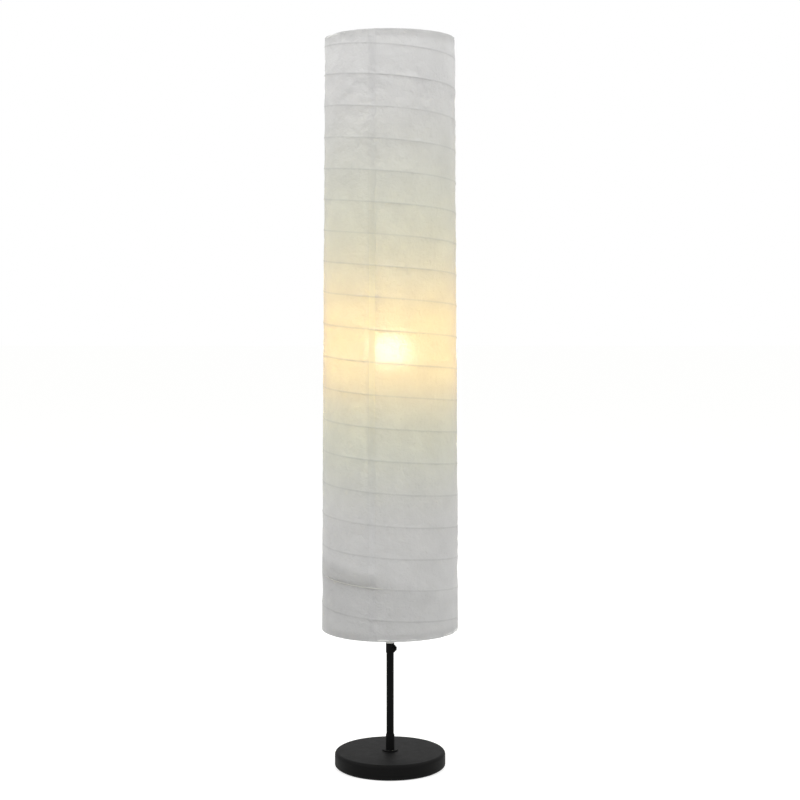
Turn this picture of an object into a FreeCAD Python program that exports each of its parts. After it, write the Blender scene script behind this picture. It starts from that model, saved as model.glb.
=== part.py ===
import FreeCAD, Part
import math
import os
import re
import Sketcher

# A paper lantern floor lamp: a weighted disc base, a slim black pole, a lampholder half way up, and a
# tall paper tube drawn out on a wound wire between two rings. The top ring hangs on a harp over the
# bulb; the bottom ring is carried by a collar that slides on the pole and is clamped by a thumbscrew.
# Millimetres, +Z up, origin at the middle of the underside. The front of the lamp faces -Y.

doc = FreeCAD.newDocument("paper_lantern_floor_lamp")

SIZES = {
    # overall
    "total_height": 1170,
    "shade_length": 944,
    "light_rise": 446,            # middle of the bulb's globe above the shade's lower edge
    # shade
    "shade_top_dia": 207.4,
    "shade_bottom_dia": 221.6,
    "paper_wall": 0.5,
    "paper_gap": 0.3,             # paper to the wires that it is pasted to
    "winding_dia": 1.4,
    "winding_pitch": 49.33,
    "winding_start": 117,         # degrees from +X where the top end lies, behind the lamp
    "winding_end_gap": 0.4,
    "ring_wire_dia": 3.6,
    "spoke_dia": 3.0,
    "spoke_count": 3,
    "spoke_bend": 6.0,
    "weld_gap": 0.2,
    # top fitting
    "spider_drop": 15.2,          # ring's middle down to the hub's middle
    "hub_dia": 22,
    "hub_thick": 2.4,
    "stud_dia": 6.2,
    "stud_flange_dia": 12,
    "stud_flange_thick": 2.0,
    "thread_clearance": 0.1,
    "finial_dia": 13,
    "finial_height": 12,
    # harp
    "harp_width": 84,
    "harp_wire_dia": 3.2,
    "harp_bend": 34,
    "saddle_thick": 1.5,
    "saddle_width": 14,
    "post_height": 14,
    "ferrule_length": 18,
    "ferrule_wall": 0.9,
    # pole
    "pole_dia": 12,
    "pole_wall": 1.0,
    "nipple_bore": 6.4,
    "nipple_reach": 15,           # how far a nipple enters each thing that it joins
    "lead_dia": 4.8,
    "lead_bend": 7.0,
    # base
    "base_dia": 180,
    "base_height": 24.6,
    "cover_wall": 1.5,
    "cover_rim_height": 0.8,
    "cover_edge_radius": 5.5,
    "pad_inset": 3.5,
    "pad_thick": 2.0,
    "weight_gap": 0.3,
    "nut_rise": 9.2,              # above the pad, which leaves room for the lead's bend
    "nut_room": 3.0,              # between the washer and its pocket
    "nut_wall": 2.6,
    "nut_thick": 4.5,
    "washer_lip": 3.0,            # past the nut's flats
    "washer_thick": 1.2,
    "flange_dia": 25.4,
    "flange_thick": 2.0,
    "sleeve_wall": 1.0,
    "sleeve_length": 25,
    "pole_seat": 14,
    # cord entry
    "gland_height": 6.2,
    "gland_bore": 6.2,
    "gland_neck_dia": 9.0,
    "gland_flange_dia": 10.6,
    "gland_flange_thick": 1.4,
    "lead_setback": 12,
    "channel_width": 6.4,
    # lampholder
    "holder_wall": 2.0,
    "holder_room": 1.7,           # between the screw shell and the spigot
    "holder_cap_height": 16,
    "holder_shell_length": 30,
    "spigot_length": 5,
    "holder_gap": 0.3,
    "core_bottom": 7,
    "core_thick": 11,
    "core_bevel": 3,              # clears the cap's cone
    "contact_dia": 8,
    "contact_thick": 1.5,
    "terminal_dia": 5.2,
    "terminal_head": 2.2,
    "terminal_spacing": 13,
    "screw_shell_wall": 0.4,
    "screw_shell_length": 24,
    # bulb
    "bulb_dia": 60,
    "bulb_length": 108,
    "bulb_wall": 1.2,
    "bulb_cap_dia": 26,
    "bulb_cap_wall": 0.4,
    "bulb_cap_length": 21.5,
    "insulator_length": 5,
    "tip_dia": 9.6,
    "tip_thick": 1.5,
    "housing_length": 32,
    "housing_wall": 1.6,
    "board_thick": 1.6,
    "driver_width": 20,
    "driver_length": 26,
    # carrier on the pole
    "slide_clearance": 0.08,
    "collar_drop": 40,            # collar's bottom below the shade's lower edge
    "collar_height": 15.5,
    "collar_wall": 0.82,
    "boss_dia": 12,
    "boss_length": 2.1,           # out from the pole's surface
    "boss_height": 6.5,           # above the collar's bottom
    "screw_dia": 4.0,
    "screw_head_dia": 7.4,
    "screw_head_thick": 2.1,
    "screw_bearing": -12,         # degrees from +X
    "carrier_hub_wall": 1.02,
    "stack_gap": 0.3,
}

# Places that follow from the sizes, each a formula.
PLACES = {
    "shade_bottom": "total_height - shade_length",
    "top_ring_height": "total_height - paper_gap - ring_wire_dia / 2",
    "bottom_ring_height": "shade_bottom + paper_gap + ring_wire_dia / 2",
    "ring_inset": "paper_wall + paper_gap + ring_wire_dia / 2",
    "top_ring_radius": "shade_top_dia / 2 - ring_inset",
    "bottom_ring_radius": "shade_bottom_dia / 2 - ring_inset",
    "hub_bottom": "top_ring_height - spider_drop - hub_thick / 2",
    "hub_top": "hub_bottom + hub_thick",
    "stud_bottom": "hub_bottom - stud_flange_thick",
    "harp_top": "stud_bottom - harp_wire_dia / 2",
    "nipple_dia": "pole_dia - 2 * pole_wall - 2 * thread_clearance",
    "nipple_hole": "nipple_dia + 2 * thread_clearance",
    "sleeve_dia": "pole_dia + 2 * (thread_clearance + sleeve_wall)",
    "sleeve_bottom": "base_height + flange_thick",
    "sleeve_top": "sleeve_bottom + sleeve_length",
    "pole_bottom": "sleeve_top - pole_seat",
    "bulb_globe_rise": "bulb_length - bulb_dia / 2",
    "light_height": "shade_bottom + light_rise",
    "bulb_bottom": "light_height - bulb_globe_rise",
    "screw_shell_bore": "bulb_cap_dia + 2 * stack_gap",
    "spigot_bore": "screw_shell_bore + 2 * (screw_shell_wall + holder_room)",
    "holder_dia": "spigot_bore + 4 * holder_wall + 2 * thread_clearance",
    "contact_bottom": "bulb_bottom - stack_gap - contact_thick",
    "cap_bottom": "contact_bottom - core_bottom - core_thick",
    "pole_top": "cap_bottom - saddle_thick",
    "pole_joint_height": "(pole_bottom + pole_top) / 2",
    "harp_foot": "cap_bottom + post_height",
    "weight_top": "base_height - cover_wall - weight_gap",
    "weight_height": "weight_top - pad_thick",
    "pad_dia": "base_dia - 2 * pad_inset",
    "nut_bottom": "pad_thick + nut_rise",
    "nut_flats": "nipple_dia + 2 * nut_wall",
    "washer_bottom": "nut_bottom + nut_thick",
    "washer_dia": "nut_flats + 2 * washer_lip",
    "nut_pocket_dia": "washer_dia + 2 * nut_room",
    "cover_bore": "base_dia / 2 - cover_wall",
    "collar_bore": "pole_dia + 2 * slide_clearance",
    "collar_bottom": "shade_bottom - collar_drop",
    "collar_dia": "collar_bore + 2 * collar_wall",
    "boss_reach": "pole_dia / 2 + boss_length",
    "carrier_hub_dia": "collar_bore + 2 * carrier_hub_wall",
    "screw_height": "collar_bottom + boss_height",
    "carrier_hub_bottom": "collar_bottom + collar_height + stack_gap",
    "carrier_hub_top": "bottom_ring_height + ring_wire_dia",
    "housing_bottom": "tip_thick + insulator_length + bulb_cap_length",
    "housing_top": "housing_bottom + housing_length",
    "housing_mouth": "2 * sqrt((bulb_dia / 2) ^ 2 - (bulb_globe_rise - housing_top) ^ 2)",
}


def bound(formula):
    """Write a formula of size names as the document wants it, each name after its sheet's."""
    def with_sheet(word):
        name = word.group()
        if name in SIZES:
            return "Sizes." + name
        return "Places." + name if name in PLACES else name
    return re.sub(r"[a-z]\w*", with_sheet, formula)


def fill_sheet(sheet, cells):
    for row, (name, text) in enumerate(cells.items(), start=1):
        sheet.set(f"A{row}", name)
        sheet.set(f"B{row}", text)
        sheet.setAlias(f"B{row}", name)


sizes = doc.addObject("Spreadsheet::Sheet", "Sizes")
fill_sheet(sizes, {name: str(number) for name, number in SIZES.items()})
places = doc.addObject("Spreadsheet::Sheet", "Places")
fill_sheet(places, {name: "=" + bound(formula) for name, formula in PLACES.items()})
working = doc.addObject("Spreadsheet::Sheet", "Working")
doc.recompute()

sub_parts = []


def number(formula):
    """A formula's value now, for first guesses in sketches and for shapes made from points."""
    working.set("A1", "=" + bound(formula))
    working.recompute()
    return float(working.get("A1"))


def new_body(label):
    body = doc.addObject("PartDesign::Body", label)
    body.Label = label
    sub_parts.append(body)
    return body


def add_sketch(body, plane_role, name):
    sketch = body.newObject("Sketcher::SketchObject", name)
    planes = [feature for feature in body.Origin.OriginFeatures if feature.Role == plane_role]
    sketch.AttachmentSupport = [(planes[0], "")]
    sketch.MapMode = "FlatFace"
    return sketch


def hold_point(sketch, shape, end, across, up):
    """Hold one point of a sketch at two formulas from the sketch's origin; "0" is on the axis."""
    for kind, formula, axis in (("DistanceX", across, -2), ("DistanceY", up, -1)):
        if formula == "0":
            sketch.addConstraint(Sketcher.Constraint("PointOnObject", shape, end, axis))
        else:
            rule = Sketcher.Constraint(kind, -1, 1, shape, end, number(formula))
            index = sketch.addConstraint(rule)
            sketch.setExpression(f"Constraints[{index}]", bound(formula))


def sketch_point(corner):
    return FreeCAD.Vector(number(corner[0]), number(corner[1]), 0)


def draw_outline(sketch, corners):
    """A closed outline of straight lines."""
    count = len(corners)
    for index, corner in enumerate(corners):
        following = corners[(index + 1) % count]
        sketch.addGeometry(Part.LineSegment(sketch_point(corner), sketch_point(following)), False)
    for index in range(count):
        sketch.addConstraint(Sketcher.Constraint("Coincident", index, 2, (index + 1) % count, 1))
    for index, corner in enumerate(corners):
        hold_point(sketch, index, 1, *corner)


def draw_circle(sketch, across, up, diameter):
    centre = sketch_point((across, up))
    shape = sketch.addGeometry(Part.Circle(centre, FreeCAD.Vector(0, 0, 1), number(diameter) / 2), False)
    hold_point(sketch, shape, 3, across, up)
    index = sketch.addConstraint(Sketcher.Constraint("Diameter", shape, number(diameter)))
    sketch.setExpression(f"Constraints[{index}]", bound(diameter))


def draw_box(sketch, left, right, low, high):
    draw_outline(sketch, [(left, low), (right, low), (right, high), (left, high)])


def lift(sub_part, height):
    if height != "0":
        sub_part.setExpression("Placement.Base.z", bound(height))


def turned(label, corners, height="0"):
    """A piece turned about its own upright axis, standing at a height."""
    body = new_body(label)
    profile = add_sketch(body, "XZ_Plane", label + "_profile")
    draw_outline(profile, corners)
    turning = body.newObject("PartDesign::Revolution", label + "_turning")
    turning.Profile = profile
    turning.ReferenceAxis = (profile, ["V_Axis"])
    turning.Angle = 360
    body.Tip = turning
    lift(body, height)
    doc.recompute()
    return body


def tube(label, outside, inside, length, height="0"):
    """A plain tube or washer, of two diameters and a length."""
    outer = f"({outside}) / 2"
    inner = f"({inside}) / 2"
    return turned(label, [(inner, "0"), (outer, "0"), (outer, length), (inner, length)], height)


def round_edges(body, diameter, level, radius):
    """Round the circular edges of one diameter at one level of a turned piece."""
    turning = body.Tip
    names = []
    for index, edge in enumerate(turning.Shape.Edges, start=1):
        curve = edge.Curve
        if not isinstance(curve, Part.Circle):
            continue
        same_size = abs(2 * curve.Radius - number(diameter)) < 0.01
        if same_size and abs(curve.Center.z - number(level)) < 0.01:
            names.append(f"Edge{index}")
    rounding = body.newObject("PartDesign::Fillet", body.Label + "_round")
    rounding.Base = (turning, names)
    rounding.setExpression("Radius", bound(radius))
    body.Tip = rounding
    doc.recompute()


def pad(body, sketch, length):
    feature = body.newObject("PartDesign::Pad", sketch.Label + "_pad")
    feature.Profile = sketch
    feature.setExpression("Length", bound(length))
    body.Tip = feature
    doc.recompute()


def pocket(body, sketch, depth, reverse=False):
    """Cut a sketch into a body, and stop if the cut takes nothing away."""
    before = body.Tip.Shape.Volume
    feature = body.newObject("PartDesign::Pocket", sketch.Label + "_cut")
    feature.Profile = sketch
    feature.Reversed = reverse
    feature.setExpression("Length", bound(depth))
    body.Tip = feature
    doc.recompute()
    if body.Tip.Shape.Volume > before - 0.01:
        raise RuntimeError(body.Label + ": the cut " + feature.Label + " takes nothing away")


def pattern_round(body, feature, count):
    """Repeat a feature of a body evenly about the upright axis."""
    axes = [item for item in body.Origin.OriginFeatures if item.Role == "Z_Axis"]
    pattern = body.newObject("PartDesign::PolarPattern", body.Label + "_pattern")
    pattern.Originals = [feature]
    pattern.Axis = (axes[0], [""])
    pattern.Angle = 360
    pattern.setExpression("Occurrences", bound(count))
    body.Tip = pattern
    doc.recompute()


def bent_rod(label, plane_role, route, bend, diameter, height):
    """A round rod along a route of square corners, which starts square to the level plane."""
    body = new_body(label)
    path = add_sketch(body, plane_role, label + "_route")
    steps = [sketch_point(end) - sketch_point(start) for start, end in zip(route, route[1:])]

    def along(corner, step, way):
        """The point one bend radius from a corner, forwards or backwards along a step."""
        across, up = corner
        if abs(step.x) > abs(step.y):
            return (f"{across} {'+' if step.x * way > 0 else '-'} {bend}", up)
        return (across, f"{up} {'+' if step.y * way > 0 else '-'} {bend}")

    lines = []
    for run, step in enumerate(steps):
        start = route[run] if run == 0 else along(route[run], step, 1)
        end = route[run + 1] if run == len(steps) - 1 else along(route[run + 1], step, -1)
        shape = path.addGeometry(Part.LineSegment(sketch_point(start), sketch_point(end)), False)
        lines.append((shape, start, end))
    for corner, before, after in zip(route[1:], lines, lines[1:]):
        start = sketch_point(before[2])
        end = sketch_point(after[1])
        outward = sketch_point(corner) * 2 - start - end
        centre = sketch_point(corner) - outward
        middle = centre + outward.normalize() * number(bend)
        shape = path.addGeometry(Part.Arc(start, middle, end), False)
        near, far = (1, 2) if path.getPoint(shape, 1).distanceToPoint(start) < 0.001 else (2, 1)
        path.addConstraint(Sketcher.Constraint("Tangent", before[0], 2, shape, near))
        path.addConstraint(Sketcher.Constraint("Coincident", after[0], 1, shape, far))
    for shape, start, end in lines:
        hold_point(path, shape, 1, *start)
        hold_point(path, shape, 2, *end)
    section = add_sketch(body, "XY_Plane", label + "_section")
    if plane_role == "XZ_Plane":
        draw_circle(section, route[0][0], "0", diameter)
    else:
        draw_circle(section, "0", route[0][0], diameter)
    rod = body.newObject("PartDesign::AdditivePipe", label + "_rod")
    rod.Profile = section
    rod.Spine = (path, [])
    body.Tip = rod
    lift(body, height)
    doc.recompute()

    cut_corners = (len(steps) - 1) * (2 - math.pi / 2) * number(bend)
    length = sum(step.Length for step in steps) - cut_corners
    expected = length * math.pi * number(diameter) ** 2 / 4
    if abs(rod.Shape.Volume / expected - 1) > 0.001:
        raise RuntimeError(label + ": its volume isn't its section times its length")
    return body


# ---- base -------------------------------------------------------------------------------------

def make_base():
    turned("foot_pad", [("0", "0"), ("pad_dia / 2", "0"), ("pad_dia / 2", "pad_thick"), ("0", "pad_thick")])

    # cement block, with a pocket under it for the nut and a channel for the lead
    pocket_depth = "washer_bottom + washer_thick - pad_thick"
    outer = "cover_bore - weight_gap"
    weight = turned("base_weight", [
        ("nut_pocket_dia / 2", "0"),
        (outer, "0"),
        (outer, "weight_height - cover_edge_radius"),
        (outer + " - cover_edge_radius", "weight_height"),
        ("nipple_hole / 2", "weight_height"),
        ("nipple_hole / 2", pocket_depth),
        ("nut_pocket_dia / 2", pocket_depth),
    ], "pad_thick")
    channel = add_sketch(weight, "XY_Plane", "lead_channel")
    draw_box(channel, "-channel_width / 2", "channel_width / 2", "0", "base_dia / 2")
    pocket(weight, channel, "gland_height - pad_thick + channel_width / 2", reverse=True)
    recess = add_sketch(weight, "XY_Plane", "gland_recess")
    side = "gland_flange_dia / 2 + weight_gap"
    inner_face = "cover_bore - gland_flange_thick - 2 * weight_gap"
    draw_box(recess, f"-({side})", side, inner_face, "base_dia / 2")
    pocket(weight, recess, f"gland_height - pad_thick + {side}", reverse=True)

    # pressed cover
    cover = turned("base_cover", [
        ("nipple_hole / 2", "base_height - cover_wall"),
        ("cover_bore", "base_height - cover_wall"),
        ("cover_bore", "cover_rim_height"),
        ("base_dia / 2", "cover_rim_height"),
        ("base_dia / 2", "base_height"),
        ("nipple_hole / 2", "base_height"),
    ])
    round_edges(cover, "base_dia", "base_height", "cover_edge_radius")
    round_edges(cover, "2 * cover_bore", "base_height - cover_wall", "cover_edge_radius - cover_wall")
    gland_hole = add_sketch(cover, "XZ_Plane", "gland_hole")
    draw_circle(gland_hole, "0", "gland_height", "gland_neck_dia + 2 * thread_clearance")
    pocket(cover, gland_hole, "base_dia / 2 + cover_wall")

    # cord gland, turned upright and laid down through the rear wall
    neck = "gland_flange_thick + cover_wall + 2 * weight_gap"
    whole = f"{neck} + gland_flange_thick"
    gland = turned("cord_gland", [
        ("gland_bore / 2", "0"),
        ("gland_flange_dia / 2", "0"),
        ("gland_flange_dia / 2", "gland_flange_thick"),
        ("gland_neck_dia / 2", "gland_flange_thick"),
        ("gland_neck_dia / 2", neck),
        ("gland_flange_dia / 2", neck),
        ("gland_flange_dia / 2", whole),
        ("gland_bore / 2", whole),
    ])
    gland.Placement.Rotation = FreeCAD.Rotation(FreeCAD.Vector(1, 0, 0), -90)
    gland.setExpression("Placement.Base.y", bound("cover_bore - weight_gap - gland_flange_thick"))
    gland.setExpression("Placement.Base.z", bound("gland_height"))

    # what holds the pole to the base
    tube("base_washer", "washer_dia", "nipple_hole", "washer_thick", "washer_bottom")
    make_nut("base_nut", "nut_flats", "nipple_hole", "nut_thick", "nut_bottom")
    nipple_top = "pole_bottom + nipple_reach"
    tube("base_nipple", "nipple_dia", "nipple_bore", f"{nipple_top} - nut_bottom", "nut_bottom")
    flange = tube("foot_flange", "flange_dia", "nipple_hole", "flange_thick", "base_height")
    round_edges(flange, "flange_dia", "flange_thick", "flange_thick / 3")
    seat = "sleeve_length - pole_seat"
    bore = "pole_dia / 2 + thread_clearance"
    sleeve = turned("foot_sleeve", [
        ("nipple_hole / 2", "0"),
        ("sleeve_dia / 2", "0"),
        ("sleeve_dia / 2", "sleeve_length"),
        (bore, "sleeve_length"),
        (bore, seat),
        ("nipple_hole / 2", seat),
    ], "sleeve_bottom")
    round_edges(sleeve, "sleeve_dia", "sleeve_length", "sleeve_wall / 2")


def make_nut(label, flats, hole, thickness, height):
    """A hexagon nut: a prism with a hole through it."""
    blank = doc.addObject("Part::Prism", label + "_blank")
    blank.Polygon = 6
    blank.setExpression("Circumradius", bound(f"{flats} / sqrt(3)"))
    blank.setExpression("Height", bound(thickness))
    drill = doc.addObject("Part::Cylinder", label + "_drill")
    drill.setExpression("Radius", bound(f"{hole} / 2"))
    drill.setExpression("Height", bound(thickness))
    nut = doc.addObject("Part::Cut", label)
    nut.Base = blank
    nut.Tool = drill
    nut.Label = label
    lift(nut, height)
    sub_parts.append(nut)


# ---- pole and its wiring ----------------------------------------------------------------------

def make_pole():
    bore = "pole_dia - 2 * pole_wall"
    tube("lower_pole", "pole_dia", bore, "pole_joint_height - pole_bottom", "pole_bottom")
    tube("upper_pole", "pole_dia", bore, "pole_top - pole_joint_height", "pole_joint_height")
    joint_bottom = "pole_joint_height - nipple_reach"
    tube("pole_joint_nipple", "nipple_dia", "nipple_bore", "2 * nipple_reach", joint_bottom)
    lead_top = "cap_bottom + core_bottom - stack_gap"
    drop = f"gland_height - ({lead_top})"
    bent_rod("inner_lead", "YZ_Plane", [
        ("0", "0"),
        ("0", drop),
        ("cover_bore - lead_setback", drop),
    ], "lead_bend", "lead_dia", lead_top)


# ---- lampholder -------------------------------------------------------------------------------

def make_lampholder():
    nipple_length = "nipple_reach + saddle_thick + holder_wall"
    tube("holder_nipple", "nipple_dia", "nipple_bore", nipple_length, "pole_top - nipple_reach")

    # the cap: a neck that widens to a short straight side
    neck = "nipple_dia / 2 + 2 * holder_wall"
    cone_top = "holder_cap_height - spigot_length - holder_wall"
    inside = "holder_dia / 2 - holder_wall"
    turned("holder_cap", [
        ("nipple_hole / 2", "0"),
        (neck, "0"),
        ("holder_dia / 2", cone_top),
        ("holder_dia / 2", "holder_cap_height"),
        (inside, "holder_cap_height"),
        (inside, cone_top + " + holder_wall / 2"),
        (neck, "holder_wall"),
        ("nipple_hole / 2", "holder_wall"),
    ], "cap_bottom")

    # the shell: its spigot sits inside the cap
    spigot = "spigot_bore / 2 + holder_wall"
    bore = "spigot_bore / 2"
    turned("holder_shell", [
        (bore, "0"),
        (spigot, "0"),
        (spigot, "spigot_length"),
        ("holder_dia / 2", "spigot_length"),
        ("holder_dia / 2", "spigot_length + holder_shell_length"),
        (inside, "spigot_length + holder_shell_length"),
        (inside, "spigot_length + holder_wall"),
        (bore, "spigot_length + holder_wall"),
    ], "cap_bottom + holder_cap_height - spigot_length")

    core_radius = f"{bore} - holder_gap"
    turned("holder_core", [
        ("0", "0"),
        (f"{core_radius} - core_bevel", "0"),
        (core_radius, "core_bevel"),
        (core_radius, "core_thick"),
        ("0", "core_thick"),
    ], "cap_bottom + core_bottom")
    turned("centre_contact", [
        ("0", "0"),
        ("contact_dia / 2", "0"),
        ("contact_dia / 2 - contact_thick", "contact_thick"),
        ("0", "contact_thick"),
    ], "contact_bottom")
    shell_outside = "screw_shell_bore + 2 * screw_shell_wall"
    tube("screw_shell", shell_outside, "screw_shell_bore", "screw_shell_length", "contact_bottom")

    heads = []
    for name, side in (("left_terminal", "-"), ("right_terminal", "")):
        head = doc.addObject("Part::Cylinder", name)
        head.setExpression("Radius", bound("terminal_dia / 2"))
        head.setExpression("Height", bound("terminal_head"))
        head.setExpression("Placement.Base.x", bound(f"{side}terminal_spacing / 2"))
        heads.append(head)
    screws = doc.addObject("Part::Compound", "terminal_screws")
    screws.Links = heads
    screws.Label = "terminal_screws"
    lift(screws, "cap_bottom + core_bottom - terminal_head")
    sub_parts.append(screws)


# ---- bulb -------------------------------------------------------------------------------------

def make_bulb():
    tip_radius = "tip_dia / 2"
    cap_radius = "bulb_cap_dia / 2"
    turned("bulb_contact", [
        ("0", "0"),
        (f"{tip_radius} - tip_thick", "0"),
        (tip_radius, "tip_thick"),
        ("0", "tip_thick"),
    ], "bulb_bottom")
    turned("bulb_insulator", [
        ("0", "0"),
        (tip_radius, "0"),
        (f"{cap_radius} - bulb_cap_wall", "insulator_length"),
        ("0", "insulator_length"),
    ], "bulb_bottom + tip_thick")
    cap_bottom = "bulb_bottom + tip_thick + insulator_length"
    tube("bulb_cap", "bulb_cap_dia", "bulb_cap_dia - 2 * bulb_cap_wall", "bulb_cap_length", cap_bottom)
    mouth = "housing_mouth / 2"
    turned("bulb_housing", [
        (f"{cap_radius} - housing_wall", "0"),
        (cap_radius, "0"),
        (mouth, "housing_length"),
        (f"{mouth} - housing_wall", "housing_length"),
    ], "bulb_bottom + housing_bottom")

    # globe: two part spheres, open where they meet the housing
    opening = "(bulb_globe_rise - housing_top)"
    layers = []
    for name, radius in (("globe_outside", "bulb_dia / 2"), ("globe_inside", "bulb_dia / 2 - bulb_wall")):
        ball = doc.addObject("Part::Sphere", name)
        ball.setExpression("Radius", bound(radius))
        ball.setExpression("Angle1", bound(f"-asin({opening} / ({radius}))"))
        layers.append(ball)
    globe = doc.addObject("Part::Cut", "bulb_globe")
    globe.Base, globe.Tool = layers
    globe.Label = "bulb_globe"
    lift(globe, "light_height")
    sub_parts.append(globe)

    # the board closes the housing's mouth, and the driver hangs under it
    board_height = "bulb_bottom + housing_top - board_thick"
    narrowing = f"board_thick * ({mouth} - {cap_radius}) / housing_length"
    board_radius = f"{mouth} - housing_wall - stack_gap - {narrowing}"
    turned("led_board", [
        ("0", "0"),
        (board_radius, "0"),
        (board_radius, "board_thick"),
        ("0", "board_thick"),
    ], board_height)
    driver = doc.addObject("Part::Box", "driver_board")
    driver.Label = "driver_board"
    driver.setExpression("Length", bound("driver_width"))
    driver.setExpression("Width", bound("board_thick"))
    driver.setExpression("Height", bound("driver_length"))
    driver.setExpression("Placement.Base.x", bound("-driver_width / 2"))
    driver.setExpression("Placement.Base.y", bound("-board_thick / 2"))
    lift(driver, f"{board_height} - driver_length - stack_gap")
    sub_parts.append(driver)


# ---- harp and top fitting ---------------------------------------------------------------------

def make_harp():
    half = "harp_width / 2"
    saddle = new_body("harp_saddle")
    strip = add_sketch(saddle, "XY_Plane", "saddle_strip")
    overhang = f"({half} + saddle_width / 2)"
    draw_box(strip, f"-{overhang}", overhang, "-saddle_width / 2", "saddle_width / 2")
    pad(saddle, strip, "saddle_thick")
    posts = add_sketch(saddle, "XY_Plane", "saddle_posts")
    draw_circle(posts, f"-{half}", "0", "harp_wire_dia")
    draw_circle(posts, half, "0", "harp_wire_dia")
    pad(saddle, posts, "saddle_thick + post_height")
    hole = add_sketch(saddle, "XY_Plane", "saddle_hole")
    draw_circle(hole, "0", "0", "nipple_hole")
    pocket(saddle, hole, "saddle_thick", reverse=True)
    lift(saddle, "pole_top")

    rise = "(harp_top - harp_foot)"
    bent_rod("harp", "XZ_Plane", [
        (f"-{half}", "0"),
        (f"-{half}", rise),
        (half, rise),
        (half, "0"),
    ], "harp_bend", "harp_wire_dia", "harp_foot")

    bore = "harp_wire_dia + 2 * thread_clearance"
    sleeves = []
    for name, side in (("left_ferrule", "-"), ("right_ferrule", "")):
        layers = []
        for part_name, diameter in (("outside", f"{bore} + 2 * ferrule_wall"), ("inside", bore)):
            layer = doc.addObject("Part::Cylinder", f"{name}_{part_name}")
            layer.setExpression("Radius", bound(f"({diameter}) / 2"))
            layer.setExpression("Height", bound("ferrule_length"))
            layers.append(layer)
        sleeve = doc.addObject("Part::Cut", name)
        sleeve.Base, sleeve.Tool = layers
        sleeve.setExpression("Placement.Base.x", bound(f"{side}{half}"))
        sleeves.append(sleeve)
    ferrules = doc.addObject("Part::Compound", "harp_ferrules")
    ferrules.Links = sleeves
    ferrules.Label = "harp_ferrules"
    lift(ferrules, "harp_foot - ferrule_length / 2")
    sub_parts.append(ferrules)

    stud_length = "stud_flange_thick + hub_thick + finial_height * 0.6"
    turned("harp_stud", [
        ("0", "0"),
        ("stud_flange_dia / 2", "0"),
        ("stud_flange_dia / 2", "stud_flange_thick"),
        ("stud_dia / 2", "stud_flange_thick"),
        ("stud_dia / 2", stud_length),
        ("0", stud_length),
    ], "stud_bottom")


def make_top_fitting():
    tube("spider_hub", "hub_dia", "stud_dia + 4 * thread_clearance", "hub_thick", "hub_bottom")
    # each spoke runs out from the hub, turns up, and laps the ring's inner side
    riser = "(top_ring_radius - ring_wire_dia / 2 - weld_gap - spoke_dia / 2)"
    riser_top = "top_ring_height + ring_wire_dia / 2"
    hub_middle = "-(ring_wire_dia / 2 + spider_drop)"
    spokes = bent_rod("spider_spokes", "XZ_Plane", [
        (riser, "0"),
        (riser, hub_middle),
        ("hub_dia / 2 + weld_gap", hub_middle),
    ], "spoke_bend", "spoke_dia", riser_top)
    pattern_round(spokes, spokes.Tip, "spoke_count")
    turn_to_rear(spokes)
    make_ring("top_ring", "top_ring_radius", "top_ring_height")

    bore = "stud_dia / 2 + thread_clearance"
    bore_depth = "finial_height * 0.75"
    turned("finial", [
        (bore, "0"),
        ("finial_dia * 0.42", "0"),
        ("finial_dia / 2", "finial_height * 0.2"),
        ("finial_dia / 2", "finial_height * 0.7"),
        ("finial_dia * 0.36", "finial_height"),
        ("0", "finial_height"),
        ("0", bore_depth),
        (bore, bore_depth),
    ], "hub_top")


def turn_to_rear(sub_part):
    """Turn a group of spokes so that its first one points straight back."""
    base = sub_part.Placement.Base
    sub_part.Placement = FreeCAD.Placement(base, FreeCAD.Rotation(FreeCAD.Vector(0, 0, 1), 90))


def make_ring(label, radius, height):
    ring = doc.addObject("Part::Torus", label)
    ring.Label = label
    ring.setExpression("Radius1", bound(radius))
    ring.setExpression("Radius2", bound("ring_wire_dia / 2"))
    lift(ring, height)
    sub_parts.append(ring)


# ---- shade ------------------------------------------------------------------------------------

def make_shade():
    wide = "shade_bottom_dia / 2"
    narrow = "shade_top_dia / 2"
    turned("shade_paper", [
        (f"{wide} - paper_wall", "0"),
        (wide, "0"),
        (narrow, "shade_length"),
        (f"{narrow} - paper_wall", "shade_length"),
    ], "shade_bottom")
    make_winding()


def winding_point(turn, top, radius_at):
    """A point of the winding, and its direction, so many turns below its top end."""
    pitch = number("winding_pitch")
    angle = math.radians(number("winding_start")) + 2 * math.pi * turn
    height = top - pitch * turn
    radius = radius_at(height)
    widening = radius_at(height - pitch) - radius
    point = FreeCAD.Vector(radius * math.cos(angle), radius * math.sin(angle), height)
    around = FreeCAD.Vector(-math.sin(angle), math.cos(angle), 0) * (2 * math.pi * radius)
    outward = FreeCAD.Vector(math.cos(angle), math.sin(angle), 0) * widening
    direction = around + outward - FreeCAD.Vector(0, 0, pitch)
    return point, direction.normalize()


def arc_from(start, direction, end):
    """The arc that leaves a point in a direction and ends at another point."""
    chord = end - start
    side = direction - chord * (direction.dot(chord) / chord.dot(chord))
    lean = chord.getAngle(direction)
    bulge = chord.Length / 2 * math.tan(lean / 2)
    middle = start + chord / 2 + side.normalize() * bulge
    return Part.Arc(start, middle, end).toShape()


def two_arcs(start, leaving, end, arriving):
    """Two arcs that meet smoothly and join two points in their directions."""
    span = end - start
    total = leaving + arriving
    across = span.dot(total)
    spread = 2 * (1 - leaving.dot(arriving))
    reach = (math.sqrt(across ** 2 + spread * span.dot(span)) - across) / spread
    meeting = (start + end + (leaving - arriving) * reach) / 2
    return [arc_from(start, leaving, meeting), arc_from(end, arriving * -1, meeting)]


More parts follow.
